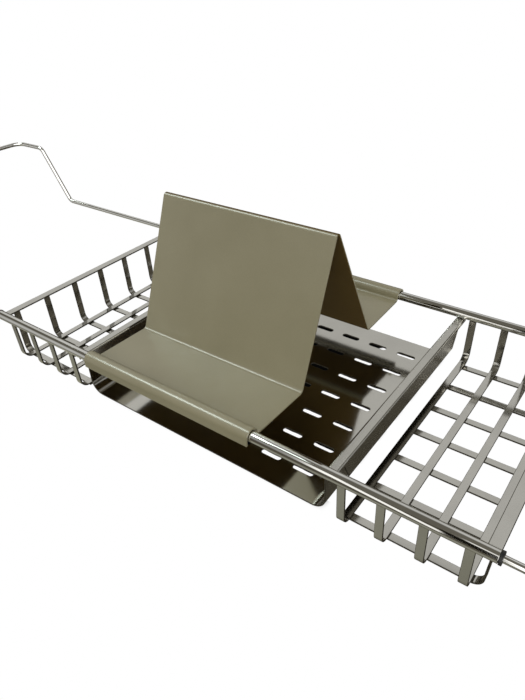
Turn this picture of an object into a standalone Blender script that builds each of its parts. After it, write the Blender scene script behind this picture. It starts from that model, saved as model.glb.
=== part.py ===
"""Extendable bath caddy in polished steel: two tube rails that carry a slotted tray and two
flat-bar baskets, a bent rod arm that slides out at each end, and a folded book stand.

X runs along the rails, Y from the front rail to the rear one, Z up. The origin is under the
middle of the caddy, on the plane of the lowest basket bars."""

import math

import bmesh
import bpy
from mathutils import Matrix, Vector

# Clearances, in metres as all sizes are
JOINT_GAP = 0.0003
CUTTER_OVERRUN = 0.002

# Tube rails
RAIL_SPACING = 0.240
RAIL_LENGTH = 0.482
TUBE_DIAMETER = 0.0085
TUBE_WALL = 0.0006

# Black end caps, which also guide the rods
CAP_DIAMETER = 0.0091
CAP_FLANGE_THICKNESS = 0.0025
CAP_SLEEVE_LENGTH = 0.006

# Sliding arms, drawn out as far as they stand at rest
ROD_DIAMETER = 0.005
LEG_INSIDE_RAIL = 0.045
LEG_OUTSIDE_RAIL = 0.195
ARM_SLOPE_RUN = 0.041
ARM_RISE = 0.067
ARM_TOP_RUN = 0.051
ARM_BEND_RADIUS = 0.009
ARM_CORNER_RADIUS = 0.013
STOP_LENGTH = 0.008
STOP_END_THICKNESS = 0.001

# Slotted tray, one folded sheet
TRAY_SHEET = 0.0012
TRAY_LENGTH = 0.2465
TRAY_WIDTH = 0.2295
TRAY_DEPTH = 0.045
TRAY_FLOOR_BEND = 0.0105
TRAY_FOLD_BEND = 0.0014
TRAY_STRIP_WIDTH = 0.0086
TRAY_TAB_PAST_AXIS = 0.001
FLANGE_DEPTH = 0.0189
FLANGE_END_INSET = 0.0176
FLANGE_END_CHAMFER = 0.0075
SLOT_LENGTH = 0.018
SLOT_WIDTH = 0.0052
SLOT_PITCH = 0.0301
SLOT_EDGE_MARGIN = 0.008

# Baskets: hoops that hang under the rails, and bars that run under the hoops
BASKET_DEPTH = 0.0468
HOOP_COUNT = 4
HOOP_WIDTH = 0.0064
HOOP_THICKNESS = 0.0015
HOOP_BEND = 0.0085
HOOP_DRAFT = 0.0015
HOOP_GAP_TO_TRAY = 0.0038
HOOP_GAP_TO_RIM = 0.0042
BAR_COUNT = 7
BAR_WIDTH = 0.0064
BAR_THICKNESS = 0.0015
BAR_BEND = 0.008
BAR_END_OVERHANG = 0.0013
BAR_EDGE_INSET = 0.0115
END_WALL_LEAN = 0.002
RIM_WIDTH = 0.0084
RIM_THICKNESS = 0.0015

# Book stand, one folded sheet hooked over both rails
STAND_SHEET = 0.0016
STAND_HOOK_CLEARANCE = 0.0008
STAND_WIDTH = 0.1750
STAND_GAP_TO_LEFT_STRIP = 0.0142
STAND_VALLEY_REACH = 0.0545
STAND_APEX_HEIGHT = 0.1143
STAND_APEX_FORWARD = 0.0063
STAND_LEDGE_DROP = 0.0030
STAND_VALLEY_DROP = 0.0046
STAND_HOOK_TAIL = 0.0055
STAND_VALLEY_BEND = 0.005
STAND_APEX_BEND = 0.0026
STAND_LEDGE_BEND = 0.003

# Fineness of the round stretches
ARC_STEP = math.radians(15)
TURN_STEPS = 24
SLOT_END_STEPS = 6
ROD_BEVEL_RESOLUTION = 4
SHARP_ANGLE = math.radians(40)

# Sizes that follow from those above
tube_radius = TUBE_DIAMETER / 2
bore_radius = tube_radius - TUBE_WALL
rod_radius = ROD_DIAMETER / 2
half_spacing = RAIL_SPACING / 2
half_rail = RAIL_LENGTH / 2
rail_height = BASKET_DEPTH + JOINT_GAP + BAR_THICKNESS
under_tube = -tube_radius - JOINT_GAP
half_tray = TRAY_LENGTH / 2
sides = {"left": -1, "right": 1}


def clear_scene():
    for thing in list(bpy.data.objects):
        bpy.data.objects.remove(thing, do_unlink=True)


def make_material(name, colour, roughness, metallic):
    material = bpy.data.materials.new(name)
    material.use_nodes = True
    shader = material.node_tree.nodes["Principled BSDF"]
    shader.inputs["Base Color"].default_value = (*colour, 1)
    shader.inputs["Roughness"].default_value = roughness
    shader.inputs["Metallic"].default_value = metallic
    return material


def add_object(name, data, material, place):
    thing = bpy.data.objects.new(name, data)
    thing.location = place
    if material:
        data.materials.append(material)
    bpy.context.scene.collection.objects.link(thing)
    return thing


def finish_mesh(name, shape):
    """Turn a bmesh into a mesh with outward faces, smooth where it is round."""
    bmesh.ops.recalc_face_normals(shape, faces=shape.faces)
    mesh = bpy.data.meshes.new(name)
    shape.to_mesh(mesh)
    shape.free()
    mesh.shade_smooth()
    mesh.set_sharp_from_angle(angle=SHARP_ANGLE)
    return mesh


def rounded_path(corners, radii):
    """Points and directions of a line through the corners, each inner corner an arc of its radius."""
    corners = [Vector(corner) for corner in corners]
    points = [corners[0]]
    directions = [(corners[1] - corners[0]).normalized()]
    for before, corner, after, radius in zip(corners, corners[1:], corners[2:], radii):
        back = (before - corner).normalized()
        ahead = (after - corner).normalized()
        half_angle = back.angle(ahead) / 2
        centre = corner + (back + ahead).normalized() * radius / math.sin(half_angle)
        spoke = corner + back * radius / math.tan(half_angle) - centre
        turn = math.pi - 2 * half_angle
        axis = ahead.cross(back)
        steps = max(2, round(turn / ARC_STEP))
        for step in range(steps + 1):
            swing = Matrix.Rotation(turn * step / steps, 3, axis)
            points.append(centre + swing @ spoke)
            directions.append(swing @ -back)
    points.append(corners[-1])
    directions.append((corners[-1] - corners[-2]).normalized())
    return points, directions


def bent_strip(name, corners, radii, across, width, thickness):
    """A flat strip bent along a path: its section is the thickness by the width."""
    points, directions = rounded_path(corners, radii)
    half_width = Vector(across) * width / 2
    shape = bmesh.new()
    sections = []
    for point, direction in zip(points, directions):
        half_thickness = direction.cross(Vector(across)) * thickness / 2
        section = [point + half_thickness + half_width, point + half_thickness - half_width,
                   point - half_thickness - half_width, point - half_thickness + half_width]
        sections.append([shape.verts.new(place) for place in section])
    for near, far in zip(sections, sections[1:]):
        for side in range(4):
            following = (side + 1) % 4
            shape.faces.new((near[side], near[following], far[following], far[side]))
    shape.faces.new(sections[0])
    shape.faces.new(sections[-1])
    return finish_mesh(name, shape)


def turned(name, profile):
    """A round piece about the X axis, from its half section as (place along X, radius) points."""
    shape = bmesh.new()
    rim = [shape.verts.new((along, 0, radius)) for along, radius in profile]
    edges = [shape.edges.new((rim[index - 1], rim[index])) for index in range(len(rim))]
    bmesh.ops.spin(shape, geom=rim + edges, cent=(0, 0, 0), axis=(1, 0, 0),
                   angle=2 * math.pi, steps=TURN_STEPS, use_merge=True)
    bmesh.ops.remove_doubles(shape, verts=shape.verts, dist=JOINT_GAP / 100)
    return finish_mesh(name, shape)


def add_prism(shape, outline, sweep):
    """Add a closed prism to a bmesh: a flat outline swept along a vector."""
    base = shape.faces.new([shape.verts.new(point) for point in outline])
    moved = bmesh.ops.extrude_face_region(shape, geom=[base])
    tops = [item for item in moved["geom"] if isinstance(item, bmesh.types.BMVert)]
    bmesh.ops.translate(shape, verts=tops, vec=sweep)


def cut_with(target, name, shape):
    """Cut a shape out of an object with a Boolean modifier."""
    cutter = add_object(name, finish_mesh(name, shape), None, target.location)
    cutter.hide_render = True
    cutter.display_type = 'WIRE'
    cut = target.modifiers.new(name, 'BOOLEAN')
    cut.operation = 'DIFFERENCE'
    cut.object = cutter


def make_rails(steel):
    profile = [(-half_rail, bore_radius), (-half_rail, tube_radius),
               (half_rail, tube_radius), (half_rail, bore_radius)]
    for row, side in (("front", -1), ("rear", 1)):
        name = row + "_rail"
        add_object(name, turned(name, profile), steel, (0, side * half_spacing, rail_height))


def make_end_caps(plastic):
    """A flange that covers the tube's end and a sleeve inside it, bored for the sliding rod."""
    bore = rod_radius + JOINT_GAP
    sleeve = bore_radius - JOINT_GAP
    inner_face = half_rail + JOINT_GAP
    outer_face = inner_face + CAP_FLANGE_THICKNESS
    sleeve_end = inner_face - CAP_SLEEVE_LENGTH
    for end, x_side in sides.items():
        profile = [(x_side * along, radius) for along, radius in (
            (outer_face, bore), (outer_face, CAP_DIAMETER / 2), (inner_face, CAP_DIAMETER / 2),
            (inner_face, sleeve), (sleeve_end, sleeve), (sleeve_end, bore))]
        for row, y_side in (("front", -1), ("rear", 1)):
            name = f"{end}_{row}_end_cap"
            add_object(name, turned(name, profile), plastic, (0, y_side * half_spacing, rail_height))


def make_arm(end, x_side, steel):
    """One rod bent to a loop: two legs that slide in the rails, raised to a bar across the tub rim."""
    inner_end = half_rail - LEG_INSIDE_RAIL
    first_bend = half_rail + LEG_OUTSIDE_RAIL
    second_bend = first_bend + ARM_SLOPE_RUN
    corner = second_bend + ARM_TOP_RUN
    front_half = [(x_side * inner_end, -half_spacing, 0), (x_side * first_bend, -half_spacing, 0),
                  (x_side * second_bend, -half_spacing, ARM_RISE), (x_side * corner, -half_spacing, ARM_RISE)]
    rear_half = [(x, -y, z) for x, y, z in reversed(front_half)]
    half_radii = [ARM_BEND_RADIUS, ARM_BEND_RADIUS, ARM_CORNER_RADIUS]
    points, directions = rounded_path(front_half + rear_half, half_radii + half_radii[::-1])
    name = end + "_arm"
    curve = bpy.data.curves.new(name, 'CURVE')
    curve.dimensions = '3D'
    curve.bevel_depth = rod_radius
    curve.bevel_resolution = ROD_BEVEL_RESOLUTION
    curve.use_fill_caps = True
    line = curve.splines.new('POLY')
    line.points.add(len(points) - 1)
    for spot, point in zip(line.points, points):
        spot.co = (*point, 1)
    line.use_smooth = True
    add_object(name, curve, steel, (0, 0, rail_height))


def make_arm_stops(end, x_side, plastic):
    """A cup pushed over each leg's inner end, which the end cap's sleeve holds in the rail."""
    bore = rod_radius + JOINT_GAP
    outside = bore_radius - JOINT_GAP
    rod_end = half_rail - LEG_INSIDE_RAIL
    cup_floor = rod_end - JOINT_GAP
    cup_back = cup_floor - STOP_END_THICKNESS
    cup_mouth = cup_back + STOP_LENGTH
    profile = [(x_side * along, radius) for along, radius in (
        (cup_back, 0), (cup_back, outside), (cup_mouth, outside),
        (cup_mouth, bore), (cup_floor, bore), (cup_floor, 0))]
    for row, y_side in (("front", -1), ("rear", 1)):
        name = f"{end}_{row}_arm_stop"
        add_object(name, turned(name, profile), plastic, (0, y_side * half_spacing, rail_height))


def cut_tray_ends(tray, floor_bottom):
    """Trim the floor and walls to the tray's width, so that only the strips reach under the rails."""
    below_fold = under_tube - TRAY_SHEET - TRAY_FOLD_BEND
    height = below_fold - floor_bottom + CUTTER_OVERRUN
    reach = half_tray + TRAY_STRIP_WIDTH / 2
    length = half_spacing - TRAY_WIDTH / 2 + TRAY_TAB_PAST_AXIS + CUTTER_OVERRUN
    shape = bmesh.new()
    for y_side in (-1, 1):
        outline = [(x, y_side * TRAY_WIDTH / 2, z) for x, z in (
            (-reach, below_fold), (reach, below_fold), (reach, below_fold - height), (-reach, below_fold - height))]
        add_prism(shape, outline, (0, y_side * length, 0))
    cut_with(tray, "tray_end_cutter", shape)


def cut_flange_ends(tray):
    """Shorten the two outer flanges and slant their ends."""
    below_fold = under_tube - TRAY_SHEET - TRAY_FOLD_BEND
    flange_bottom = under_tube - FLANGE_DEPTH
    flange_end = half_spacing - FLANGE_END_INSET
    slope = FLANGE_END_CHAMFER / (below_fold - flange_bottom)
    cut_bottom = flange_bottom - CUTTER_OVERRUN
    cut_end = half_spacing + TRAY_TAB_PAST_AXIS + CUTTER_OVERRUN
    cut_side = half_tray + TRAY_STRIP_WIDTH - TRAY_SHEET - CUTTER_OVERRUN
    shape = bmesh.new()
    for x_side in (-1, 1):
        for y_side in (-1, 1):
            outline = [(x_side * cut_side, y_side * y, z) for y, z in (
                (flange_end, below_fold), (cut_end, below_fold), (cut_end, cut_bottom),
                (flange_end - slope * (below_fold - cut_bottom), cut_bottom))]
            add_prism(shape, outline, (x_side * (TRAY_SHEET + 2 * CUTTER_OVERRUN), 0, 0))
    cut_with(tray, "flange_end_cutter", shape)


def slot_places(half_length, half_slot):
    """Centres of a row of slots that fits between the margins, one of them in the middle."""
    count = int((half_length - SLOT_EDGE_MARGIN - half_slot) / SLOT_PITCH)
    return [index * SLOT_PITCH for index in range(-count, count + 1)]


def cut_slots(tray, floor_bottom):
    """Drain slots with round ends, in straight rows and columns."""
    radius = SLOT_WIDTH / 2
    straight = SLOT_LENGTH / 2 - radius
    round_end = [(straight + radius * math.sin(math.pi * step / SLOT_END_STEPS),
                  radius * math.cos(math.pi * step / SLOT_END_STEPS)) for step in range(SLOT_END_STEPS + 1)]
    outline = round_end + [(-x, -y) for x, y in round_end]
    columns = slot_places(half_tray - TRAY_FLOOR_BEND, SLOT_LENGTH / 2)
    rows = slot_places(TRAY_WIDTH / 2, SLOT_WIDTH / 2)
    shape = bmesh.new()
    for column in columns:
        for row in rows:
            place = [(column + x, row + y, floor_bottom - CUTTER_OVERRUN) for x, y in outline]
            add_prism(shape, place, (0, 0, TRAY_SHEET + 2 * CUTTER_OVERRUN))
    cut_with(tray, "slot_cutter", shape)


def make_tray(steel):
    """One sheet: slotted floor, two end walls, a strip along each and a flange folded down outside."""
    half_sheet = TRAY_SHEET / 2
    wall = half_tray + half_sheet
    flange = half_tray + TRAY_STRIP_WIDTH - half_sheet
    strip_level = under_tube - half_sheet
    floor_level = -TRAY_DEPTH - half_sheet
    right_half = [(wall, 0, floor_level), (wall, 0, strip_level),
                  (flange, 0, strip_level), (flange, 0, under_tube - FLANGE_DEPTH)]
    left_half = [(-x, y, z) for x, y, z in reversed(right_half)]
    half_radii = [TRAY_FLOOR_BEND + half_sheet, TRAY_FOLD_BEND, TRAY_FOLD_BEND]
    mesh = bent_strip("centre_tray", left_half + right_half, half_radii[::-1] + half_radii,
                      (0, 1, 0), RAIL_SPACING + 2 * TRAY_TAB_PAST_AXIS, TRAY_SHEET)
    tray = add_object("centre_tray", mesh, steel, (0, 0, rail_height))
    floor_bottom = floor_level - half_sheet
    cut_tray_ends(tray, floor_bottom)
    cut_flange_ends(tray)
    cut_slots(tray, floor_bottom)


def make_basket(end, x_side, steel):
    """Hoops under the rails, bars under the hoops that curl up to a flat rim at the rails' ends."""
    first_hoop = half_tray + TRAY_STRIP_WIDTH + HOOP_GAP_TO_TRAY + HOOP_WIDTH / 2
    last_hoop = half_rail - RIM_WIDTH - HOOP_GAP_TO_RIM - HOOP_WIDTH / 2
    hoop_level = -BASKET_DEPTH + HOOP_THICKNESS / 2
    hoop_top = half_spacing - HOOP_THICKNESS / 2
    hoop_foot = hoop_top - HOOP_DRAFT
    for number in range(HOOP_COUNT):
        x = x_side * (first_hoop + (last_hoop - first_hoop) * number / (HOOP_COUNT - 1))
        name = f"{end}_basket_hoop_{number + 1}"
        corners = [(0, -hoop_top, under_tube), (0, -hoop_foot, hoop_level),
                   (0, hoop_foot, hoop_level), (0, hoop_top, under_tube)]
        mesh = bent_strip(name, corners, [HOOP_BEND, HOOP_BEND], (1, 0, 0), HOOP_WIDTH, HOOP_THICKNESS)
        add_object(name, mesh, steel, (x, 0, rail_height))
    rim = half_rail - RIM_WIDTH / 2
    bar_level = -BASKET_DEPTH - JOINT_GAP - BAR_THICKNESS / 2
    bar_start = first_hoop - HOOP_WIDTH / 2 - BAR_END_OVERHANG
    bar_top = -RIM_THICKNESS / 2 - JOINT_GAP
    outer_bar = hoop_foot - BAR_EDGE_INSET
    for number in range(BAR_COUNT):
        y = -outer_bar + 2 * outer_bar * number / (BAR_COUNT - 1)
        name = f"{end}_basket_bar_{number + 1}"
        corners = [(x_side * bar_start, 0, bar_level), (x_side * (rim - END_WALL_LEAN), 0, bar_level),
                   (x_side * rim, 0, bar_top)]
        mesh = bent_strip(name, corners, [BAR_BEND], (0, 1, 0), BAR_WIDTH, BAR_THICKNESS)
        add_object(name, mesh, steel, (0, y, rail_height))
    name = end + "_basket_rim"
    rim_end = half_spacing - tube_radius - JOINT_GAP
    mesh = bent_strip(name, [(0, -rim_end, 0), (0, rim_end, 0)], [], (1, 0, 0), RIM_WIDTH, RIM_THICKNESS)
    add_object(name, mesh, steel, (x_side * rim, 0, rail_height))


def make_book_stand(paint):
    """A folded sheet: a hook over each rail, a ledge, and a peak between two steep faces."""
    hook_radius = tube_radius + STAND_HOOK_CLEARANCE + STAND_SHEET / 2
    outside = half_spacing + hook_radius
    inside = half_spacing - hook_radius
    front_half = [(0, -outside, -STAND_HOOK_TAIL), (0, -outside, hook_radius), (0, -inside, hook_radius),
                  (0, -inside, -STAND_LEDGE_DROP), (0, -STAND_VALLEY_REACH, -STAND_VALLEY_DROP)]
    rear_half = [(x, -y, z) for x, y, z in reversed(front_half)]
    peak = [(0, -STAND_APEX_FORWARD, STAND_APEX_HEIGHT)]
    half_radii = [hook_radius, hook_radius, STAND_LEDGE_BEND, STAND_VALLEY_BEND]
    radii = half_radii + [STAND_APEX_BEND] + half_radii[::-1]
    mesh = bent_strip("book_stand", front_half + peak + rear_half, radii, (1, 0, 0), STAND_WIDTH, STAND_SHEET)
    middle = -half_tray + STAND_GAP_TO_LEFT_STRIP + STAND_WIDTH / 2
    add_object("book_stand", mesh, paint, (middle, 0, rail_height))


clear_scene()
polished_steel = make_material("polished_steel", (0.62, 0.61, 0.58), 0.12, 1)
stand_paint = make_material("stand_paint", (0.227, 0.205, 0.135), 0.45, 0)
black_plastic = make_material("black_plastic", (0.012, 0.012, 0.013), 0.4, 0)
make_rails(polished_steel)
make_end_caps(black_plastic)
make_tray(polished_steel)
for end_name, direction in sides.items():
    make_basket(end_name, direction, polished_steel)
    make_arm(end_name, direction, polished_steel)
    make_arm_stops(end_name, direction, black_plastic)
make_book_stand(stand_paint)
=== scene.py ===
import math

import bmesh
import bpy
from mathutils import Matrix, Vector


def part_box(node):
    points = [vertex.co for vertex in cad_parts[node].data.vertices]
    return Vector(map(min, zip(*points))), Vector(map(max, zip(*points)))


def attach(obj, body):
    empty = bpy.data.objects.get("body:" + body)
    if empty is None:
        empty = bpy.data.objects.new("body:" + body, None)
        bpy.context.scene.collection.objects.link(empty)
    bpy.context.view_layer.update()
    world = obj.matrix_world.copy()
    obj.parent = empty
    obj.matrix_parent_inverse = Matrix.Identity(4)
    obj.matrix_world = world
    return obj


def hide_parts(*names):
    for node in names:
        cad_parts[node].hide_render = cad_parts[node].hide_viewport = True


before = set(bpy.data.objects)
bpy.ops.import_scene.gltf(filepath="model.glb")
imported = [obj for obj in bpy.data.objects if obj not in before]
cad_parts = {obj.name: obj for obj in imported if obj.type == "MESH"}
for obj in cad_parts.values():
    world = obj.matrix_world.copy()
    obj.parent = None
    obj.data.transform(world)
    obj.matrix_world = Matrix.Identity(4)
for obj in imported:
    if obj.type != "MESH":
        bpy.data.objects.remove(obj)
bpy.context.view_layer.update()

bpy.ops.object.select_all(action="DESELECT")

# Driving sizes, in metres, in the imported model's frame: X along the rails, Y to the rear, Z up
RAIL_SPACING = 0.240
RAIL_LENGTH = 0.482
TUBE_DIAMETER = 0.0085
TUBE_WALL = 0.0006
TUBE_END_ROUND = TUBE_WALL * 0.35
JOINT_GAP = 0.0003

CAP_DIAMETER = 0.0091
CAP_FLANGE = 0.0020
CAP_SLEEVE = 0.006
CAP_EDGE_ROUND = 0.0004

ROD_DIAMETER = 0.005
ROD_END_ROUND = 0.0005
LEG_INSIDE_RAIL = 0.045
LEG_OUTSIDE_RAIL = 0.195
ARM_SLOPE_RUN = 0.041
ARM_RISE = 0.067
ARM_TOP_RUN = 0.051
ARM_BEND_RADIUS = 0.009
ARM_CORNER_RADIUS = 0.013

TRAY_SHEET = 0.0012
TRAY_EDGE_ROUND = 0.00032
TRAY_LENGTH = 0.2465
TRAY_WIDTH = 0.2295
TRAY_DEPTH = 0.045
TRAY_FLOOR_BEND = 0.0105
TRAY_FOLD_BEND = 0.0014
TRAY_STRIP_WIDTH = 0.0086
TRAY_TAB_PAST_AXIS = 0.001
FLANGE_DEPTH = 0.0189
FLANGE_END_INSET = 0.0176
FLANGE_END_CHAMFER = 0.0075
SLOT_LENGTH = 0.018
SLOT_WIDTH = 0.0052
SLOT_PITCH = 0.0301
SLOTS_EACH_WAY = 7

BASKET_DEPTH = 0.0468
HOOP_COUNT = 4
HOOP_WIDTH = 0.0064
HOOP_THICKNESS = 0.0015
HOOP_BEND = 0.0085
HOOP_DRAFT = 0.0015
HOOP_GAP_TO_TRAY = 0.0038
HOOP_GAP_TO_RIM = 0.0042
BAR_COUNT = 7
BAR_WIDTH = 0.0064
BAR_THICKNESS = 0.0015
BAR_BEND = 0.008
BAR_END_UNDERLAP = 0.0004
BAR_EDGE_INSET = 0.0115
BAR_EDGE_ROUND = 0.00034
TWISTED_BAR = 6
TWISTED_BAR_SLOPE = 0.045
END_WALL_LEAN = 0.002
RIM_WIDTH = 0.0084
RIM_THICKNESS = 0.0015
RIM_EDGE_ROUND = 0.00045

STAND_SHEET = 0.0016
STAND_EDGE_ROUND = 0.0003
STAND_HOOK_CLEARANCE = 0.0008
STAND_VALLEY_REACH = 0.0545
STAND_APEX_HEIGHT = 0.1143
STAND_APEX_FORWARD = 0.0063
STAND_LEDGE_DROP = 0.0030
STAND_VALLEY_DROP = 0.0046
STAND_HOOK_TAIL = 0.0055
STAND_VALLEY_BEND = 0.005
STAND_APEX_BEND = 0.0026
STAND_LEDGE_BEND = 0.003

# Fineness of bends and of round sections, and the angles from which an edge counts as one
BEND_STEP = math.radians(7)
TUBE_SIDES = 96
ROD_SIDES = 48
SLOT_SIDES = 32
SHARP_ANGLE = math.radians(35)
ROD_END_ANGLE = math.radians(60)
QUARTER_TURN = math.radians(90)

# Shaping work: cutters, the first stretch of a bend, and how near or how square counts as exact
CUTTER_DEPTH = 0.008
STUB_SHARE = 0.2
HAIR = 0.00001
SAME_PLACE = 0.0001
MERGE_DISTANCE = 0.000002
SQUARE_ON = 0.9
UPRIGHT = 0.5

# Places that follow from the sizes above
tube_radius = TUBE_DIAMETER / 2
bore_radius = tube_radius - TUBE_WALL
rod_radius = ROD_DIAMETER / 2
half_spacing = RAIL_SPACING / 2
half_rail = RAIL_LENGTH / 2
half_tray = TRAY_LENGTH / 2
rail_height = BASKET_DEPTH + JOINT_GAP + BAR_THICKNESS
under_tube = rail_height - tube_radius - JOINT_GAP
sides = {"left": -1, "right": 1}
rows = {"front": -1, "rear": 1}


# Shader work: a socket that can be written into sums, and one call for every other node
class Shade:
    def __init__(self, tree, socket):
        self.tree = tree
        self.socket = socket

    def maths(self, operation, *others):
        values = [other.socket if isinstance(other, Shade) else other for other in (self, *others)]
        return node(self.tree, "ShaderNodeMath", {"operation": operation}, dict(enumerate(values)))

    def __add__(self, other):
        return self.maths("ADD", other)

    def __sub__(self, other):
        return self.maths("SUBTRACT", other)

    def __rsub__(self, other):
        return self.maths("MULTIPLY", -1).maths("ADD", other)

    def __mul__(self, other):
        return self.maths("MULTIPLY", other)

    def __truediv__(self, other):
        return self.maths("DIVIDE", other)

    __radd__ = __add__
    __rmul__ = __mul__

    def size(self):
        return self.maths("ABSOLUTE")

    def clamped(self, low, high):
        return self.maths("MAXIMUM", low).maths("MINIMUM", high)

    def between(self, at_nothing, at_one):
        """Spread a value from 0 to 1 over another stretch."""
        return self * (at_one - at_nothing) + at_nothing

    def blended(self, other, share):
        """This value with another mixed in by its share."""
        return self * (1 - share) + other * share

    def either_way(self, swing):
        """Turn a noise value into a change to either side of nothing."""
        return (self - 0.5) * swing

    def ramp(self, low, high, from_value=0.0, to_value=1.0):
        """Ease from one value to another as this one goes from low to high."""
        return node(self.tree, "ShaderNodeMapRange", {"interpolation_type": "SMOOTHSTEP"}, {
            "Value": self, "From Min": low, "From Max": high, "To Min": from_value, "To Max": to_value})


def node(tree, kind, settings=None, inputs=None, output=0):
    """Add one node: its settings first, then the values or links of its sockets."""
    made = tree.nodes.new(kind)
    for name, value in (settings or {}).items():
        setattr(made, name, value)
    for name, value in (inputs or {}).items():
        target = made.inputs[name]
        source = value.socket if isinstance(value, Shade) else value
        if isinstance(source, bpy.types.NodeSocket):
            tree.links.new(source, target)
        else:
            target.default_value = source
    return Shade(tree, made.outputs[output]) if len(made.outputs) else None


def new_material(name):
    material = bpy.data.materials.new(name)
    material.use_nodes = True
    tree = material.node_tree
    tree.nodes.clear()
    return material, tree


def finish_material(tree, inputs):
    surface = node(tree, "ShaderNodeBsdfPrincipled", None, inputs)
    node(tree, "ShaderNodeOutputMaterial", None, {"Surface": surface})


def object_place(tree, stretch=(1, 1, 1)):
    place = node(tree, "ShaderNodeTexCoord", None, None, "Object")
    return node(tree, "ShaderNodeMapping", None, {"Vector": place, "Scale": stretch})


def along_axes(tree, vector, axes):
    """The parts of a place or a direction along the axes that are named."""
    parts = node(tree, "ShaderNodeSeparateXYZ", None, {"Vector": vector}).socket.node.outputs
    return [Shade(tree, parts[axis]) for axis in axes]


def noise(tree, place, scale, detail):
    return node(tree, "ShaderNodeTexNoise", None, {
        "Vector": place, "Scale": scale, "Detail": detail, "Roughness": 0.55}, "Fac")


def mixed(tree, amount, first, second):
    """Blend two colours by a value."""
    first, second = (colour if isinstance(colour, Shade) else (*colour, 1) for colour in (first, second))
    return node(tree, "ShaderNodeMix", {"data_type": "RGBA"}, {0: amount, 6: first, 7: second}, 2)


def bumped(tree, height, distance):
    return node(tree, "ShaderNodeBump", None, {"Height": height, "Distance": distance, "Strength": 1.0})


def polish(tree):
    """The slow cloud in a polish, its fine specks, and the two together as a tint."""
    cloud = noise(tree, object_place(tree), scale=35, detail=3)
    specks = noise(tree, object_place(tree), scale=1400, detail=1)
    return cloud, specks, cloud.blended(specks, 0.4).ramp(0.25, 0.75)


# Finishes
DULLER = 0.86


def make_polished_steel(name, colour, roughness, grain_stretch, grain_height):
    """Bright stainless steel: faint drawing lines one way, a slow cloud in the polish and fine specks."""
    material, tree = new_material(name)
    lines = noise(tree, object_place(tree, grain_stretch), scale=900, detail=2)
    cloud, specks, tint = polish(tree)
    duller = tuple(channel * DULLER for channel in colour)
    finish_material(tree, {
        "Base Color": mixed(tree, tint, duller, colour),
        "Metallic": 1.0,
        "Roughness": cloud.either_way(0.05) + lines.either_way(0.03) + roughness,
        "Normal": bumped(tree, lines.blended(specks, 0.3), grain_height),
    })
    return material


def make_tray_steel():
    """The tray's polished sheet: satin on top of its strips, and dull and unpolished on the outer faces,
    whose colour is also darkened as painted shade.
    """
    material, tree = new_material("polished_tray_steel")
    x, z = along_axes(tree, object_place(tree), "XZ")
    past_wall = x.size().ramp(half_tray + TRAY_SHEET * 0.25, half_tray + TRAY_SHEET * 0.75)
    below_strip = z.ramp(under_tube - TRAY_SHEET / 2, under_tube - TRAY_FOLD_BEND)
    # painted shade: this mask darkens the colour of the flanges and the walls' backs, and also makes them
    # rougher
    dull_and_shaded_outer = past_wall * below_strip
    strip_top = z.ramp(under_tube - TRAY_SHEET / 3, under_tube - TRAY_SHEET / 12)
    cloud, specks, tint = polish(tree)
    polished = mixed(tree, tint, (0.60, 0.59, 0.555), (0.67, 0.66, 0.62))
    finish_material(tree, {
        "Base Color": mixed(tree, dull_and_shaded_outer, polished, (0.38, 0.36, 0.31)),
        "Metallic": 1.0,
        "Roughness": cloud.either_way(0.06) + 0.10 + dull_and_shaded_outer * 0.16 + strip_top * 0.17,
        "Normal": bumped(tree, specks, 0.0000012),
    })
    return material


def make_cut_edge():
    """The sheared edges of sheets and flat bars: dull like sheared steel, and painted near black as shade
    beside the polished faces.
    """
    material, tree = new_material("sheared_edge_steel_painted_shade")
    tears = noise(tree, object_place(tree), scale=900, detail=2)
    finish_material(tree, {
        # painted shade: edge colours far darker than steel stand in for the shade along the thin edges
        "Base Color": mixed(tree, tears.ramp(0.3, 0.7), (0.07, 0.062, 0.047), (0.17, 0.155, 0.125)),
        "Metallic": 1.0,
        "Roughness": tears.between(0.35, 0.55),
        "Normal": bumped(tree, tears, 0.00001),
    })
    return material


def painted_shade_inside_stand(tree):
    """Where the stand's sheet faces inwards, in the peak and below the ledges: where its paint is painted
    dark as shade.
    """
    y, z = along_axes(tree, object_place(tree), "YZ")
    valley_height = rail_height - STAND_VALLEY_DROP
    up_face = (z - valley_height) / (STAND_APEX_HEIGHT + STAND_VALLEY_DROP)
    behind_front_face = y - (up_face * (STAND_VALLEY_REACH - STAND_APEX_FORWARD) - STAND_VALLEY_REACH)
    before_rear_face = STAND_VALLEY_REACH - up_face * (STAND_VALLEY_REACH + STAND_APEX_FORWARD) - y
    inwards = (0.0, 0.0006)
    above_valley = up_face.ramp(0.0, 0.02)
    in_peak = behind_front_face.ramp(*inwards) * before_rear_face.ramp(*inwards) * above_valley
    ledge_reach = half_spacing - tube_radius - STAND_VALLEY_REACH
    along_ledge = (y.size() - STAND_VALLEY_REACH) / ledge_reach
    past_valley = along_ledge.ramp(0.0, 0.1)
    before_rail = along_ledge.ramp(1.0, 0.94)
    ledge_height = along_ledge * (STAND_VALLEY_DROP - STAND_LEDGE_DROP) + valley_height
    under_ledge = (ledge_height - z).ramp(-0.0002, 0.0004) * past_valley * before_rail
    return (in_peak + under_ledge).clamped(0.0, 1.0)


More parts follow.
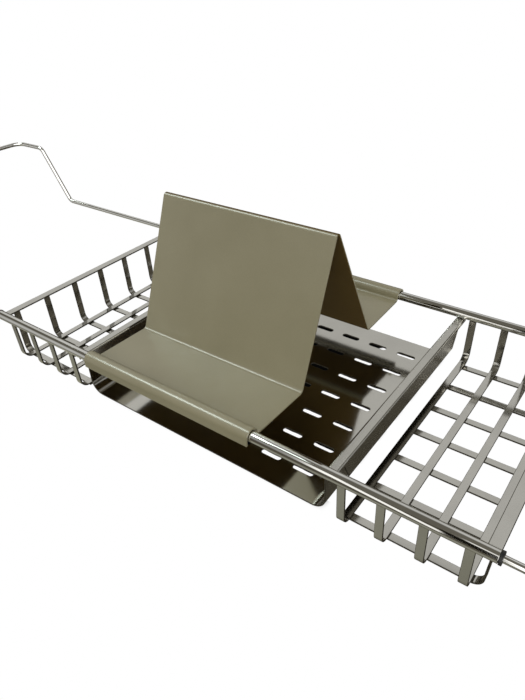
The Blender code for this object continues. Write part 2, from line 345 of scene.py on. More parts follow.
def make_stand_paint():
    """Satin greige paint. On the inner faces, in the peak and below the ledges, it is dull, and painted
    dark brown as shade.
    """
    material, tree = new_material("stand_satin_paint")
    inside = painted_shade_inside_stand(tree)
    peel = noise(tree, object_place(tree), scale=700, detail=2)
    cloud = noise(tree, object_place(tree), scale=18, detail=3)
    flecks = noise(tree, object_place(tree), scale=2600, detail=1)
    tint = cloud.blended(flecks, 0.5).ramp(0.3, 0.7)
    outer = mixed(tree, tint, (0.222, 0.204, 0.123), (0.266, 0.246, 0.156))
    # painted shade: the inner faces' dark brown stands in for the shade in the peak and under the ledges
    inner = mixed(tree, tint, (0.078, 0.045, 0.003), (0.094, 0.056, 0.005))
    finish_material(tree, {
        "Base Color": mixed(tree, inside, outer, inner),
        "Metallic": 0.0,
        "Roughness": peel.either_way(0.06) + inside.between(0.42, 0.72),
        "Specular IOR Level": 0.5,
        "Normal": bumped(tree, peel, 0.00003),
        "Coat Weight": cloud.between(0.7, 0.9) * (1 - inside),
        "Coat Roughness": 0.19,
    })
    return material


def make_black_plastic():
    """Moulded black plastic with a fine spark-eroded grain."""
    material, tree = new_material("moulded_black_plastic")
    grain = noise(tree, object_place(tree), scale=2400, detail=2)
    cloud = noise(tree, object_place(tree), scale=260, detail=2)
    finish_material(tree, {
        "Base Color": mixed(tree, cloud.ramp(0.3, 0.7), (0.008, 0.008, 0.009), (0.019, 0.019, 0.020)),
        "Metallic": 0.0,
        "Roughness": grain.between(0.3, 0.5),
        "Normal": bumped(tree, grain, 0.00004),
    })
    return material


# Shaping tools
def pick(*pieces):
    """Select these pieces and nothing else. The first of them is the active one."""
    bpy.ops.object.select_all(action="DESELECT")
    for piece in pieces:
        piece.select_set(True)
    bpy.context.view_layer.objects.active = pieces[0]


def discard(*pieces):
    for piece in pieces:
        bpy.data.objects.remove(piece, do_unlink=True)


def in_edit(piece):
    pick(piece)
    bpy.ops.object.mode_set(mode="EDIT")
    bpy.ops.mesh.select_all(action="DESELECT")


def out_of_edit():
    bpy.ops.object.mode_set(mode="OBJECT")


def select_edges(piece, wanted):
    """Select the edges for which wanted(middle) holds, in edit mode."""
    bpy.ops.mesh.select_mode(type="EDGE")
    shape = bmesh.from_edit_mesh(piece.data)
    for edge in shape.edges:
        near, far = (vertex.co for vertex in edge.verts)
        if wanted((near + far) / 2):
            edge.select_set(True)
    bmesh.update_edit_mesh(piece.data)


def select_faces(piece, wanted):
    """Select the faces for which wanted(middle, normal) holds, in edit mode."""
    bpy.ops.mesh.select_mode(type="FACE")
    shape = bmesh.from_edit_mesh(piece.data)
    for face in shape.faces:
        if wanted(face.calc_center_median(), face.normal):
            face.select_set(True)
    bmesh.update_edit_mesh(piece.data)


def rename(piece, name):
    piece.name = name
    piece.data.name = name


def name_piece(name):
    """Name the new primitive, and put its place, turn and scale into its mesh."""
    piece = bpy.context.object
    rename(piece, name)
    bpy.ops.object.transform_apply(location=True, rotation=True, scale=True)
    return piece


def apply_modifier(piece, kind, **settings):
    modifier = piece.modifiers.new(kind.lower(), kind)
    for name, value in settings.items():
        setattr(modifier, name, value)
    pick(piece)
    bpy.ops.object.modifier_apply(modifier=modifier.name)


def round_edges(piece, width, segments=2, angle=SHARP_ANGLE, material=-1):
    apply_modifier(piece, "BEVEL", width=width, segments=segments, limit_method="ANGLE",
                   angle_limit=angle, harden_normals=False, miter_outer="MITER_ARC", material=material)


def smooth(piece):
    """Smooth the round stretches, and keep the light even over the flats beside a rounded edge."""
    pick(piece)
    bpy.ops.object.shade_smooth_by_angle(angle=SHARP_ANGLE)
    apply_modifier(piece, "WEIGHTED_NORMAL", mode="FACE_AREA", weight=100, keep_sharp=True)


def recalculate(piece):
    in_edit(piece)
    bpy.ops.mesh.select_all(action="SELECT")
    bpy.ops.mesh.remove_doubles(threshold=MERGE_DISTANCE)
    bpy.ops.mesh.normals_make_consistent(inside=False)
    out_of_edit()


def bend_along(corners, radii):
    """Carry the selected open end through the corners, bent round at each with its radius."""
    corners = [Vector(corner) for corner in corners]
    place = corners[0]
    for before, corner, after, radius in zip(corners, corners[1:], corners[2:], radii):
        heading = (corner - before).normalized()
        ahead = (after - corner).normalized()
        turn = heading.angle(ahead)
        axis = heading.cross(ahead).normalized()
        arc_start = corner - heading * radius * math.tan(turn / 2)
        centre = arc_start + axis.cross(heading) * radius
        if (arc_start - place).length > HAIR:
            bpy.ops.mesh.extrude_region_move(TRANSFORM_OT_translate={"value": arc_start - place})
        bpy.ops.mesh.spin(steps=max(2, round(turn / BEND_STEP)), angle=-turn, center=centre, axis=axis)
        place = corner + ahead * radius * math.tan(turn / 2)
    bpy.ops.mesh.extrude_region_move(TRANSFORM_OT_translate={"value": corners[-1] - place})


def bend_surface(name, corners, radii, across, width):
    """A plane at the start of a path, carried along it. It has no thickness yet."""
    start, following = Vector(corners[0]), Vector(corners[1])
    heading = (following - start).normalized()
    across = Vector(across)
    stub = (following - start).length * STUB_SHARE
    turn = Matrix((heading, across, heading.cross(across))).transposed()
    bpy.ops.mesh.primitive_plane_add(size=1, location=start + heading * stub / 2,
                                     rotation=turn.to_euler())
    bpy.context.object.scale = (stub, width, 1)
    piece = name_piece(name)
    stub_end = start + heading * stub
    in_edit(piece)
    select_edges(piece, lambda middle: (middle - stub_end).length < SAME_PLACE)
    bend_along([stub_end] + [Vector(corner) for corner in corners[1:]], radii)
    out_of_edit()
    recalculate(piece)
    return piece


def thicken(piece, thickness, cut_edges):
    """Give a surface its thickness. Its cut edges take the second material, where it has one."""
    if cut_edges:
        piece.data.materials.append(None)
        piece.data.materials.append(None)
    apply_modifier(piece, "SOLIDIFY", thickness=thickness, offset=0, use_even_offset=True,
                   material_offset_rim=int(cut_edges))


def bend_bar(name, corners, radii, across, width, thickness, edge_round, cut_edges=True):
    """A flat bar or sheet: a surface bent along its path, thickened, and rounded at its edges."""
    piece = bend_surface(name, corners, radii, across, width)
    thicken(piece, thickness, cut_edges)
    round_edges(piece, edge_round, material=1 if cut_edges else -1)
    recalculate(piece)
    return piece


def copy_piece(piece, name, shift=(0, 0, 0), mirror=(1, 1, 1)):
    """A copy with its own mesh, mirrored and then moved within the mesh."""
    twin = piece.copy()
    twin.data = piece.data.copy()
    rename(twin, name)
    bpy.context.scene.collection.objects.link(twin)
    twin.data.transform(Matrix.Diagonal((*mirror, 1)))
    if math.prod(mirror) < 0:
        twin.data.flip_normals()
    twin.data.transform(Matrix.Translation(shift))
    return twin


def twist_across(piece, y_middle, slope):
    """Lower the near edge of a bar that was welded on a little twisted."""
    lean = Matrix.Identity(4)
    lean[2][1] = slope
    lean[2][3] = -slope * y_middle
    piece.data.transform(lean)


def join_pieces(pieces, name):
    pick(*pieces)
    bpy.ops.object.join()
    rename(bpy.context.object, name)
    return bpy.context.object


def dress(piece, finish, body, slot, *nodes):
    """Give a finished piece its materials, the body it rides on and the CAD nodes it stands for."""
    for number, material in enumerate(finish):
        if number < len(piece.data.materials):
            piece.data.materials[number] = material
        else:
            piece.data.materials.append(material)
    smooth(piece)
    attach(piece, body)
    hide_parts(*nodes)


# Rails, caps and arms
def make_rail(row, y_side):
    bpy.ops.mesh.primitive_cylinder_add(vertices=TUBE_SIDES, radius=tube_radius, depth=RAIL_LENGTH,
                                        end_fill_type="NGON", rotation=(0, QUARTER_TURN, 0),
                                        location=(0, y_side * half_spacing, rail_height))
    rail = name_piece(f"{row}_polished_rail")
    in_edit(rail)
    select_faces(rail, lambda middle, normal: abs(normal.x) > SQUARE_ON)
    bpy.ops.mesh.inset(thickness=TUBE_WALL)
    bpy.ops.mesh.bridge_edge_loops()
    out_of_edit()
    round_edges(rail, TUBE_END_ROUND)
    recalculate(rail)
    return rail


def make_end_cap():
    """The right front cap: a flange on the tube's end and a sleeve inside it, bored for the rod."""
    cap_radius = CAP_DIAMETER / 2
    bore = rod_radius + JOINT_GAP
    sleeve = bore_radius - JOINT_GAP
    inner_face = half_rail + JOINT_GAP
    axis = Vector((0, -half_spacing, rail_height))
    bpy.ops.mesh.primitive_cylinder_add(vertices=ROD_SIDES, radius=cap_radius, depth=CAP_FLANGE,
                                        location=axis + Vector((inner_face + CAP_FLANGE / 2, 0, 0)),
                                        rotation=(0, QUARTER_TURN, 0))
    cap = name_piece("right_front_plastic_cap")
    in_edit(cap)
    select_faces(cap, lambda middle, normal: normal.x < -SQUARE_ON)
    bpy.ops.mesh.inset(thickness=cap_radius - sleeve)
    bpy.ops.mesh.extrude_region_move(TRANSFORM_OT_translate={"value": (-CAP_SLEEVE, 0, 0)})
    bpy.ops.mesh.inset(thickness=sleeve - bore)
    bpy.ops.mesh.select_all(action="DESELECT")
    select_faces(cap, lambda middle, normal: normal.x > SQUARE_ON)
    bpy.ops.mesh.inset(thickness=cap_radius - bore)
    bpy.ops.mesh.select_all(action="DESELECT")
    select_faces(cap, lambda middle, normal: abs(normal.x) > SQUARE_ON
                 and (middle - axis).yz.length < SAME_PLACE)
    bpy.ops.mesh.bridge_edge_loops()
    out_of_edit()
    round_edges(cap, CAP_EDGE_ROUND, segments=3)
    recalculate(cap)
    return cap


def make_arm():
    """The right arm: one rod bent to two legs, two slopes, two raised runs and a bar across."""
    inner_end = half_rail - LEG_INSIDE_RAIL
    first_bend = half_rail + LEG_OUTSIDE_RAIL
    second_bend = first_bend + ARM_SLOPE_RUN
    corner = second_bend + ARM_TOP_RUN
    top = rail_height + ARM_RISE
    front = [(inner_end, -half_spacing, rail_height), (first_bend, -half_spacing, rail_height),
             (second_bend, -half_spacing, top), (corner, -half_spacing, top)]
    rear = [(x, -y, z) for x, y, z in reversed(front)]
    radii = [ARM_BEND_RADIUS, ARM_BEND_RADIUS, ARM_CORNER_RADIUS]
    bpy.ops.mesh.primitive_circle_add(vertices=ROD_SIDES, radius=rod_radius, location=front[0],
                                      rotation=(0, QUARTER_TURN, 0), fill_type="NOTHING")
    arm = name_piece("right_rod_arm")
    in_edit(arm)
    bpy.ops.mesh.select_mode(type="EDGE")
    bpy.ops.mesh.select_all(action="SELECT")
    bend_along(front + rear, radii + radii[::-1])
    bpy.ops.mesh.select_all(action="SELECT")
    bpy.ops.mesh.fill_holes(sides=0)
    out_of_edit()
    round_edges(arm, ROD_END_ROUND, angle=ROD_END_ANGLE)
    recalculate(arm)
    return arm


# Tray
def make_slot_cutter(floor_level):
    """A prism with round ends, for the middle slot: a cylinder whose halves are moved apart."""
    radius = SLOT_WIDTH / 2
    half_straight = SLOT_LENGTH / 2 - radius
    bpy.ops.mesh.primitive_cylinder_add(vertices=SLOT_SIDES, radius=radius, depth=CUTTER_DEPTH,
                                        location=(0, 0, floor_level), rotation=(0, 0, QUARTER_TURN))
    cutter = name_piece("slot_cutter")
    in_edit(cutter)
    bpy.ops.mesh.select_mode(type="VERT")
    shape = bmesh.from_edit_mesh(cutter.data)
    for vertex in shape.verts:
        vertex.select_set(vertex.co.x > HAIR)
    bmesh.update_edit_mesh(cutter.data)
    bpy.ops.transform.translate(value=(half_straight, 0, 0))
    bpy.ops.mesh.select_all(action="INVERT")
    bpy.ops.transform.translate(value=(-half_straight, 0, 0))
    out_of_edit()
    return cutter


def cut_slots(tray, floor_level):
    """Cut the slots through the tray's floor, and give their walls the sheared edge's material."""
    half_count = SLOTS_EACH_WAY // 2
    places = range(-half_count, half_count + 1)
    middle_slot = make_slot_cutter(floor_level)
    cutters = [copy_piece(middle_slot, "slot_cutter", (column * SLOT_PITCH, row * SLOT_PITCH, 0))
               for column in places for row in places if column or row]
    cutter = join_pieces([middle_slot] + cutters, "slot_cutters")
    apply_modifier(tray, "BOOLEAN", operation="DIFFERENCE", object=cutter, solver="EXACT")
    discard(cutter)
    slot_reach = half_count * SLOT_PITCH + SLOT_LENGTH
    in_edit(tray)
    select_faces(tray, lambda middle, normal: abs(middle.x) < slot_reach and abs(middle.y) < slot_reach
                 and abs(normal.z) < UPRIGHT)
    tray.active_material_index = 1
    bpy.ops.object.material_slot_assign()
    out_of_edit()


def trim_tray_ends(tray, below_fold, wall_reach):
    """Narrow the floor and walls, so that only the strips reach under the rails."""
    in_edit(tray)
    for y_side in rows.values():
        bpy.ops.mesh.select_all(action="SELECT")
        bpy.ops.mesh.bisect(plane_co=(0, y_side * TRAY_WIDTH / 2, 0), plane_no=(0, 1, 0))
    bpy.ops.mesh.select_all(action="SELECT")
    bpy.ops.mesh.bisect(plane_co=(0, 0, below_fold), plane_no=(0, 0, 1))
    bpy.ops.mesh.select_all(action="DESELECT")
    select_faces(tray, lambda middle, normal: abs(middle.y) > TRAY_WIDTH / 2 and middle.z < below_fold
                 and abs(middle.x) < wall_reach)
    bpy.ops.mesh.delete(type="FACE")
    out_of_edit()


def slant_flange_ends(tray, below_fold, wall_reach, flange_bottom):
    """Shorten the two outer flanges and slant their ends."""
    flange_end = half_spacing - FLANGE_END_INSET
    slope = FLANGE_END_CHAMFER / (below_fold - flange_bottom)

    def on_flange(middle, normal):
        return abs(middle.x) > wall_reach and middle.z < below_fold

    def past_slant(middle, normal):
        return on_flange(middle, normal) and \
            abs(middle.y) > flange_end - slope * (below_fold - middle.z) + HAIR

    in_edit(tray)
    for y_side in rows.values():
        bpy.ops.mesh.select_all(action="DESELECT")
        select_faces(tray, on_flange)
        bpy.ops.mesh.bisect(plane_co=(0, y_side * flange_end, below_fold), plane_no=(0, y_side, -slope))
    bpy.ops.mesh.select_all(action="DESELECT")
    select_faces(tray, past_slant)
    bpy.ops.mesh.delete(type="FACE")
    out_of_edit()


def make_tray():
    """One folded sheet: a slotted floor, two end walls, a strip along each and a flange outside it."""
    half_sheet = TRAY_SHEET / 2
    wall = half_tray + half_sheet
    wall_reach = half_tray + TRAY_STRIP_WIDTH / 2
    flange = half_tray + TRAY_STRIP_WIDTH - half_sheet
    flange_bottom = under_tube - FLANGE_DEPTH
    strip_level = under_tube - half_sheet
    floor_level = rail_height - TRAY_DEPTH - half_sheet
    below_fold = under_tube - TRAY_SHEET - TRAY_FOLD_BEND
    right_half = [(wall, 0, floor_level), (wall, 0, strip_level),
                  (flange, 0, strip_level), (flange, 0, flange_bottom)]
    left_half = [(-x, y, z) for x, y, z in reversed(right_half)]
    radii = [TRAY_FLOOR_BEND + half_sheet, TRAY_FOLD_BEND, TRAY_FOLD_BEND]
    tray = bend_surface("folded_slotted_tray", left_half + right_half, radii[::-1] + radii,
                        across=(0, 1, 0), width=RAIL_SPACING + 2 * TRAY_TAB_PAST_AXIS)
    trim_tray_ends(tray, below_fold, wall_reach)
    slant_flange_ends(tray, below_fold, wall_reach, flange_bottom)
    thicken(tray, TRAY_SHEET, True)
    cut_slots(tray, floor_level)
    round_edges(tray, TRAY_EDGE_ROUND, material=1)
    recalculate(tray)
    return tray


# Baskets
first_hoop = half_tray + TRAY_STRIP_WIDTH + HOOP_GAP_TO_TRAY + HOOP_WIDTH / 2
last_hoop = half_rail - RIM_WIDTH - HOOP_GAP_TO_RIM - HOOP_WIDTH / 2
hoop_step = (last_hoop - first_hoop) / (HOOP_COUNT - 1)
hoop_level = rail_height - BASKET_DEPTH + HOOP_THICKNESS / 2
hoop_top = half_spacing - HOOP_THICKNESS / 2
hoop_foot = hoop_top - HOOP_DRAFT
bar_level = rail_height - BASKET_DEPTH - JOINT_GAP - BAR_THICKNESS / 2
bar_top = rail_height - RIM_THICKNESS / 2 - JOINT_GAP
bar_start = first_hoop - HOOP_WIDTH / 2 + BAR_END_UNDERLAP
rim_middle = half_rail - RIM_WIDTH / 2
rim_end = half_spacing - tube_radius - JOINT_GAP
outer_bar = hoop_foot - BAR_EDGE_INSET
bar_step = 2 * outer_bar / (BAR_COUNT - 1)


def make_hoop(x):
    corners = [(x, -hoop_top, under_tube), (x, -hoop_foot, hoop_level),
               (x, hoop_foot, hoop_level), (x, hoop_top, under_tube)]
    return bend_bar("right_hoop_1", corners, [HOOP_BEND, HOOP_BEND], across=(1, 0, 0),
                    width=HOOP_WIDTH, thickness=HOOP_THICKNESS, edge_round=BAR_EDGE_ROUND)


def make_bar(y):
    corners = [(bar_start, y, bar_level), (rim_middle - END_WALL_LEAN, y, bar_level),
               (rim_middle, y, bar_top)]
    return bend_bar("right_bar_1", corners, [BAR_BEND], across=(0, 1, 0),
                    width=BAR_WIDTH, thickness=BAR_THICKNESS, edge_round=BAR_EDGE_ROUND)


def make_rim():
    corners = [(rim_middle, -rim_end, rail_height), (rim_middle, rim_end, rail_height)]
    return bend_bar("right_end_rim", corners, [], across=(1, 0, 0),
                    width=RIM_WIDTH, thickness=RIM_THICKNESS, edge_round=RIM_EDGE_ROUND)


# Book stand
def make_book_stand():
    """A folded sheet: a hook over each rail, a ledge beside each, and a peak of two steep faces."""
    low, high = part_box("book_stand")
    middle = (low.x + high.x) / 2
    hook_radius = tube_radius + STAND_HOOK_CLEARANCE + STAND_SHEET / 2
    outside = half_spacing + hook_radius
    inside = half_spacing - hook_radius
    front = [(-outside, -STAND_HOOK_TAIL), (-outside, hook_radius), (-inside, hook_radius),
             (-inside, -STAND_LEDGE_DROP), (-STAND_VALLEY_REACH, -STAND_VALLEY_DROP)]
    peak = (-STAND_APEX_FORWARD, STAND_APEX_HEIGHT)
    section = front + [peak] + [(-y, z) for y, z in reversed(front)]
    corners = [(middle, y, rail_height + z) for y, z in section]
    radii = [hook_radius, hook_radius, STAND_LEDGE_BEND, STAND_VALLEY_BEND]
    return bend_bar("folded_book_stand", corners, radii + [STAND_APEX_BEND] + radii[::-1],
                    across=(1, 0, 0), width=high.x - low.x, thickness=STAND_SHEET,
                    edge_round=STAND_EDGE_ROUND, cut_edges=False)


# Floor, and the shadow under the tray painted on it, which shows through the slots. A pair is where a
# change begins and ends
FLOOR_SIZE = 8
FLOOR_LEVEL = -0.0005
PAINTED_SHADOW_COLOUR = (0.002, 0.002, 0.002)
WOBBLE = 0.016
SHADE_FADE_IN_X = 0.010
SHADE_FADE_IN_Y = 0.012
SHADE_SOFTNESS = 0.002
SHADE_END_SLANTS = (0.055, 0.10)
SHADE_END = (0.040, 0.064)
SLOT_ROWS_SCALE = 0.9895
SLOT_ROWS_SHIFT = 0.00375
ROW_SHADE_WIDENS = (0.066, 0.080)
ROW_SHADE_START = (0.0011, 0.0003)
ROW_SHADE_SOFTNESS = (-0.0001, 0.0002)
ROW_SHADE_WOBBLE = 0.10


def painted_slot_shadow(tree):
    """Where the shadow under the tray is painted on the floor: left of a slanting line, and behind each
    slot's rear edge.
    """
    x, y = along_axes(tree, object_place(tree), "XY")
    wobble = noise(tree, object_place(tree), scale=90, detail=2).either_way(WOBBLE)
    half_width = TRAY_WIDTH / 2
    under_tray = x.size().ramp(half_tray, half_tray - SHADE_FADE_IN_X) \
        * y.size().ramp(half_width, half_width - SHADE_FADE_IN_Y)
    shade_end = y.ramp(*SHADE_END_SLANTS, *SHADE_END) + wobble
    left_shade = (x - shade_end).ramp(SHADE_SOFTNESS, -SHADE_SOFTNESS)
    along = y * SLOT_ROWS_SCALE - SLOT_ROWS_SHIFT
    place_in_row = along - (along / SLOT_PITCH).maths("ROUND") * SLOT_PITCH
    row_start = x.ramp(*ROW_SHADE_WIDENS, *ROW_SHADE_START) + wobble * ROW_SHADE_WOBBLE
    row_shade = (place_in_row - row_start).ramp(*ROW_SHADE_SOFTNESS)
    return left_shade.maths("MAXIMUM", row_shade) * under_tray


def make_floor():
    """An even white floor that neither lights nor darkens the caddy, with the shadow under the tray
    painted into its colour.
    """
    bpy.ops.mesh.primitive_plane_add(size=FLOOR_SIZE, location=(0, 0, FLOOR_LEVEL))
    floor = name_piece("pale_floor")
    material, tree = new_material("pale_floor")
    # painted shadow: the floor's colour goes near black where the shadow under the tray falls
    colour = mixed(tree, painted_slot_shadow(tree), (1, 1, 1), PAINTED_SHADOW_COLOUR)
    glow = node(tree, "ShaderNodeEmission", None, {"Color": colour})
    node(tree, "ShaderNodeOutputMaterial", None, {"Surface": glow})
    floor.data.materials.append(material)
    floor.visible_glossy = False
    floor.visible_diffuse = False
    floor.visible_shadow = False


# Studio: how bright each part is that the metal mirrors
REAR_WALL_LIGHT = 0.46
RIGHT_WALL_LIGHT = 0.26
BENCH_LIGHT = 0.4
LEFT_WALL_LIGHT = 0.46
NEAR_FLOOR_LIGHT = 0.20
CEILING_LIGHT = 0.05
ROOM_LIGHT = 0.09
BELOW_LIGHT = 0.03
WINDOW_LIGHT = 1.15
TALL_WINDOW_LIGHT = 1.6
SMALL_WINDOW_LIGHT = 0.8
STANDING_BY_SHADE = 0.92
NEAR_FLOOR_YELLOW = 0.14

# The long window slants: its middle rises to the left, between two heights
WINDOW_CORNER = -0.2
WINDOW_SLANT = 3.4
WINDOW_AT_CORNER = 0.02
WINDOW_HEIGHTS = (-0.05, 0.47)
WINDOW_HALF_HEIGHT = (0.29, 0.21)
WINDOW_RIGHT_EDGE = (-0.145, -0.157)
WINDOW_FAR_END = (-0.60, -0.52)
WINDOW_FAR_SHARE = 0.2
WINDOW_NEAR_END = (-0.41, -0.35)

# Daylight on the paint: it comes mostly from the sides and above, less from the rear, and is warm
DAYLIGHT_FROM_SIDES = 0.84
DAYLIGHT_FROM_ABOVE = 0.04
DAYLIGHT_FROM_REAR = 0.4
DAYLIGHT_LEAST = (0.06, 0.042, 0.012)


def mirrored_room(x, y, z):
    """What the metal sees, by direction: X to the right, Y to the rear, Z up, each from -1 to 1."""
    behind = y.ramp(-0.02, 0.12)
    ahead = 1 - behind

    def patch(half, left=None, right=None, foot=None, top=None):
        """A part between soft edges, each from nothing at its first value to full at its second."""
        for way, edge in ((x, left), (x, right), (z, foot), (z, top)):
            if edge:
                half = half * way.ramp(*edge)
        return half

    rear_wall = patch(behind, right=(0.16, 0.0), foot=(0.05, 0.42), top=(0.95, 0.76))
    rear_wall = rear_wall * x.ramp(-0.50, -0.68, 1.0, 1.18)
    right_wall = patch(1, left=(0.42, 0.55), foot=(-0.10, 0.20), top=(0.90, 0.75))
    bench = patch(behind, left=(0.08, 0.18), right=(0.48, 0.35), foot=(-0.62, -0.50), top=(0.0, -0.15))
    left_wall = patch(ahead, right=(-0.55, -0.72), foot=(-0.55, -0.05), top=(0.55, 0.2))
    near_floor = patch(ahead, right=(0.02, -0.08), top=(-0.35, -0.75))
    near_floor = near_floor * x.ramp(-0.40, -0.60, 1.0, 1.8)
    ceiling = z.ramp(0.45, 0.7)
    standing_by = patch(ahead, left=(-0.16, -0.148), right=(-0.03, -0.05), foot=(-0.15, 0.0),
                        top=(0.66, 0.60))
    room = z.ramp(-0.80, -0.95, ROOM_LIGHT, BELOW_LIGHT)
    light = rear_wall * REAR_WALL_LIGHT + right_wall * RIGHT_WALL_LIGHT + bench * BENCH_LIGHT \
        + left_wall * LEFT_WALL_LIGHT + near_floor * NEAR_FLOOR_LIGHT + ceiling * CEILING_LIGHT + room
    light = light * (1 - standing_by * STANDING_BY_SHADE)

    window_height = ((WINDOW_CORNER - x) * WINDOW_SLANT + WINDOW_AT_CORNER).clamped(*WINDOW_HEIGHTS)
    from_middle = (z - window_height).size()
    along_window = x.ramp(*WINDOW_NEAR_END).blended(x.ramp(*WINDOW_FAR_END), WINDOW_FAR_SHARE)
    window = patch(ahead, right=WINDOW_RIGHT_EDGE) * from_middle.ramp(*WINDOW_HALF_HEIGHT)
    window = window * along_window
    tall_window = patch(ahead, left=(-0.056, -0.045), foot=(-0.40, -0.10), top=(0.82, 0.72))
    small_window = patch(ahead, left=(-0.12, -0.105), foot=(0.66, 0.72), top=(0.88, 0.82))
    light = light + window * WINDOW_LIGHT + tall_window * TALL_WINDOW_LIGHT \
        + small_window * SMALL_WINDOW_LIGHT
    bright = light.ramp(0.0, 0.30)
    green = light * bright.between(0.88, 0.99)
    blue = light * (bright.between(0.60, 0.95) - near_floor * NEAR_FLOOR_YELLOW)
    return light, green, blue


def make_studio():
    """White to the camera, a room of walls and windows to the metal, and soft daylight to the paint."""
    world = bpy.data.worlds.new("studio")
    bpy.context.scene.world = world
    world.use_nodes = True
    tree = world.node_tree
    tree.nodes.clear()
    way = node(tree, "ShaderNodeTexCoord", None, None, "Generated")
    x, y, z = along_axes(tree, way, "XYZ")

    def background(colour):
        return node(tree, "ShaderNodeBackground", None, {"Color": colour, "Strength": 1.0})

    def combined(red, green, blue):
        return node(tree, "ShaderNodeCombineColor", None, {0: red, 1: green, 2: blue})

    daylight = z.ramp(-0.2, 0.3) * DAYLIGHT_FROM_SIDES + z.ramp(0.2, 1.0) * DAYLIGHT_FROM_ABOVE
    daylight = daylight * y.ramp(0.0, 0.6, 1.0, DAYLIGHT_FROM_REAR)
    mirrored = background(combined(*mirrored_room(x, y, z)))
    scattered = background(combined(*(daylight + least for least in DAYLIGHT_LEAST)))
    white = background((1, 1, 1, 1))
    to_camera = node(tree, "ShaderNodeLightPath", None, None, "Is Camera Ray")
    to_paint = node(tree, "ShaderNodeLightPath", None, None, "Is Diffuse Ray")
    on_caddy = node(tree, "ShaderNodeMixShader", None, {0: to_paint, 1: mirrored, 2: scattered})
    seen = node(tree, "ShaderNodeMixShader", None, {0: to_camera, 1: on_caddy, 2: white})
    node(tree, "ShaderNodeOutputWorld", None, {"Surface": seen})
    bpy.context.scene.view_settings.view_transform = "Standard"
    bpy.context.scene.view_settings.look = "None"


def make_lamp(name, middle, length, width, radiance, aim=None):
    """A soft panel. Aimed, it lights only the paint. Not aimed, it hangs level and shows in the gloss."""
    data = bpy.data.lights.new(name, "AREA")
    data.shape = "RECTANGLE"
    data.size = length
    data.size_y = width
    data.energy = radiance * math.pi * length * width
    light = bpy.data.objects.new(name, data)
    light.location = middle
    light.visible_camera = False
    if aim:
        data.color = (1.0, 0.97, 0.88)
        light.rotation_euler = (Vector(aim) - Vector(middle)).to_track_quat("-Z", "Y").to_euler()
        light.visible_glossy = False
    else:
        data.color = (0.88, 1.0, 0.96)
        light.visible_diffuse = False
    bpy.context.scene.collection.objects.link(light)


def make_camera():
    """The photograph's camera, solved from the rails, slots and bars."""
    data = bpy.data.cameras.new("photo_camera")
    data.sensor_fit = "HORIZONTAL"
    data.sensor_width = 36
    data.lens = 40.39
    data.clip_start = 0.01
    camera = bpy.data.objects.new("photo_camera", data)
    camera.location = (0.264551, -0.358050, 0.337231)
    camera.rotation_euler = [math.radians(angle) for angle in (55.2883, 2.18996, 36.3883)]
    bpy.context.scene.collection.objects.link(camera)
    bpy.context.scene.camera = camera


# The work itself
cut_edge = make_cut_edge()
rail_finish = [make_polished_steel("drawn_tube_steel", colour=(0.82, 0.815, 0.79), roughness=0.055,
                                   grain_stretch=(0.02, 1, 1), grain_height=0.0000008)]
rod_finish = [make_polished_steel("drawn_rod_steel", colour=(0.90, 0.895, 0.87), roughness=0.10,
                                  grain_stretch=(0.05, 1, 1), grain_height=0.0000012)]
tray_finish = [make_tray_steel(), cut_edge]
bar_finish = [make_polished_steel("flat_bar_steel", colour=(0.68, 0.67, 0.635), roughness=0.12,
                                  grain_stretch=(1, 1, 1), grain_height=0.000003), cut_edge]
stand_paint = make_stand_paint()
black_plastic = make_black_plastic()

for row, y_side in rows.items():
    dress(make_rail(row, y_side), rail_finish, "frame", "polished_steel", f"{row}_rail")

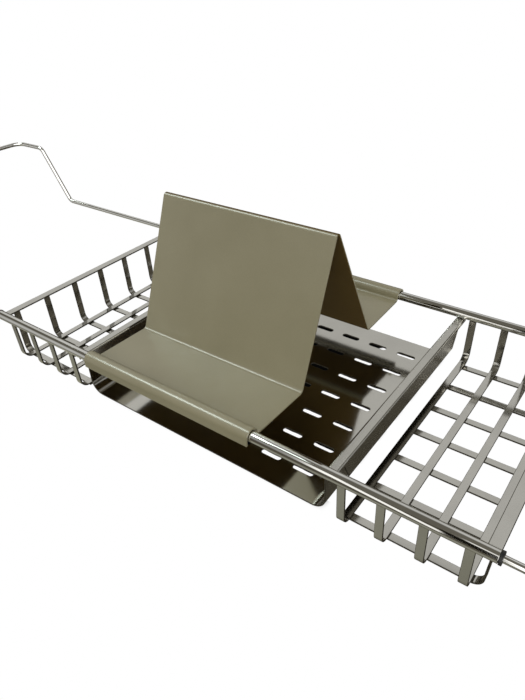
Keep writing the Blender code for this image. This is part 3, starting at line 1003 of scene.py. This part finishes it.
first_cap = make_end_cap()
for end, x_side in sides.items():
    for row, y_side in rows.items():
        cap = copy_piece(first_cap, f"{end}_{row}_plastic_cap", mirror=(x_side, -y_side, 1))
        dress(cap, [black_plastic], "frame", "black_plastic", f"{end}_{row}_end_cap")

# The arm stops are hidden in the tubes: their CAD solids stay, in the caps' plastic
first_arm = make_arm()
for end, x_side in sides.items():
    arm = copy_piece(first_arm, f"{end}_rod_arm_bent", mirror=(x_side, 1, 1))
    dress(arm, rod_finish, f"{end}_arm_body", "polished_steel", f"{end}_arm")
    for row in rows:
        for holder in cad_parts[f"{end}_{row}_arm_stop"].material_slots:
            holder.material = black_plastic

dress(make_tray(), tray_finish, "frame", "polished_steel", "centre_tray")

first_hoop_piece = make_hoop(first_hoop)
first_bar_piece = make_bar(-outer_bar)
first_rim_piece = make_rim()
for end, x_side in sides.items():
    for number in range(HOOP_COUNT):
        hoop = copy_piece(first_hoop_piece, f"{end}_flat_hoop_{number + 1}",
                          (x_side * number * hoop_step, 0, 0), (x_side, 1, 1))
        dress(hoop, bar_finish, "frame", "polished_steel", f"{end}_basket_hoop_{number + 1}")
    for number in range(BAR_COUNT):
        bar = copy_piece(first_bar_piece, f"{end}_flat_bar_{number + 1}",
                         (0, number * bar_step, 0), (x_side, 1, 1))
        if number + 1 == TWISTED_BAR:
            twist_across(bar, number * bar_step - outer_bar, TWISTED_BAR_SLOPE)
        dress(bar, bar_finish, "frame", "polished_steel", f"{end}_basket_bar_{number + 1}")
    rim = copy_piece(first_rim_piece, f"{end}_flat_end_rim", mirror=(x_side, 1, 1))
    dress(rim, bar_finish, "frame", "polished_steel", f"{end}_basket_rim")

discard(first_cap, first_arm, first_hoop_piece, first_bar_piece, first_rim_piece)

dress(make_book_stand(), [stand_paint], "book_stand_body", "stand_paint", "book_stand")

make_floor()
make_studio()
make_lamp("ceiling_lamp", middle=(-1.06, -0.385, 1.45), length=0.86, width=0.46, radiance=11.0)
make_lamp("ceiling_lamp_end", middle=(-0.55, -0.385, 1.45), length=0.16, width=0.46, radiance=1.7)
make_lamp("fill_lamp", middle=(0.38, -0.62, 0.32), length=0.3, width=0.3, radiance=1.0,
          aim=(0.0, -0.03, 0.10))
make_camera()
